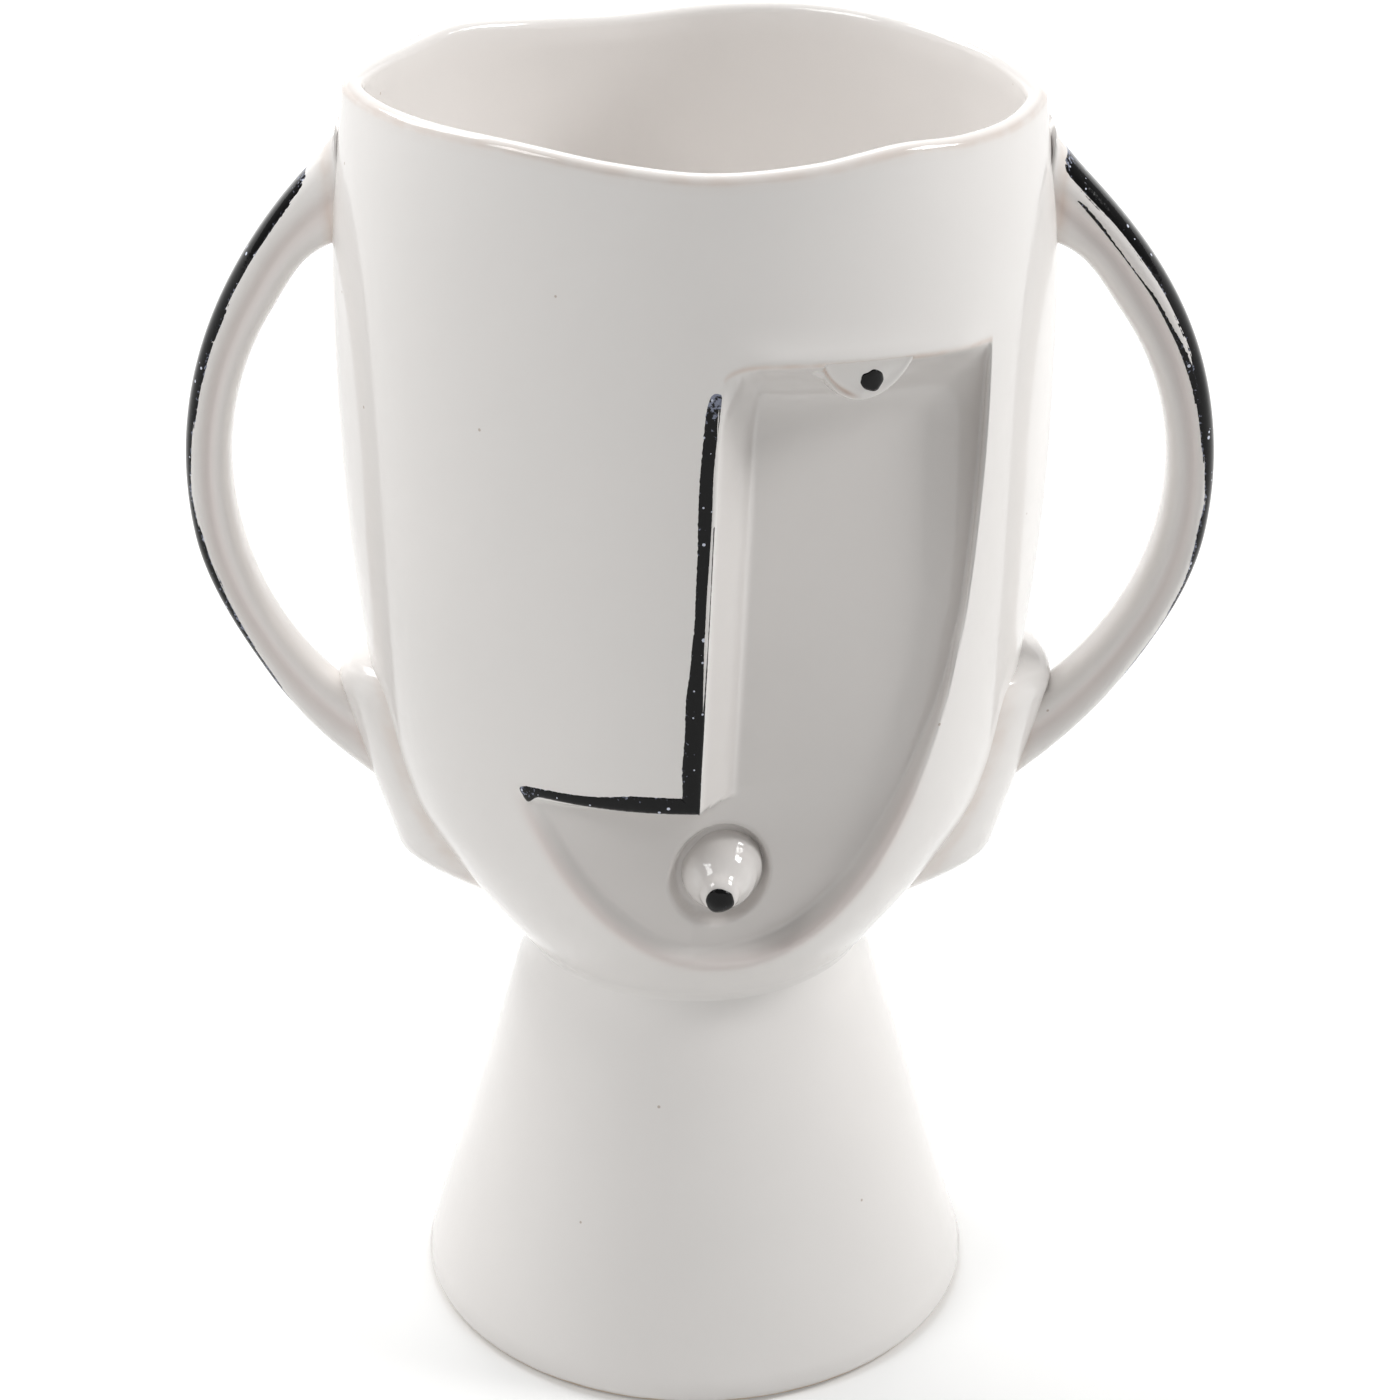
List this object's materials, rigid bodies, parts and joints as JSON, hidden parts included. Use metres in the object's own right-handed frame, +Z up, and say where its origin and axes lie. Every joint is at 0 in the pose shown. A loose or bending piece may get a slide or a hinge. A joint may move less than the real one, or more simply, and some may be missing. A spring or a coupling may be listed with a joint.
{
  "type": "face vase",
  "caption": "Glazed ceramic vase shaped as a head: deep bowl with a half-sunken abstract face, loop handles for ears and a conical pedestal, with black enamel strokes.",
  "frame": {"origin": "centre of the flat base that the vase stands on, on the axis of the pedestal", "axes": "+Z up, the face looks along -Y, +X to the right as seen from the front"},
  "size_m": [0.2348, 0.1458, 0.3],
  "materials": {
    "white_glaze": "glossy warm white glaze",
    "black_enamel": "glossy black fired enamel"
  },
  "bodies": {
    "root": {"head_bowl": "white_glaze", "pedestal_foot": "white_glaze", "handle_left": "white_glaze", "handle_right": "white_glaze", "ear_lobe_left": "white_glaze", "ear_lobe_right": "white_glaze", "eye_lid": "white_glaze", "mouth_knob": "white_glaze", "nose_line": "black_enamel", "pupil": "black_enamel", "mouth_dot": "black_enamel", "handle_stripe_left": "black_enamel", "handle_stripe_right": "black_enamel"}
  },
  "joints": []
}
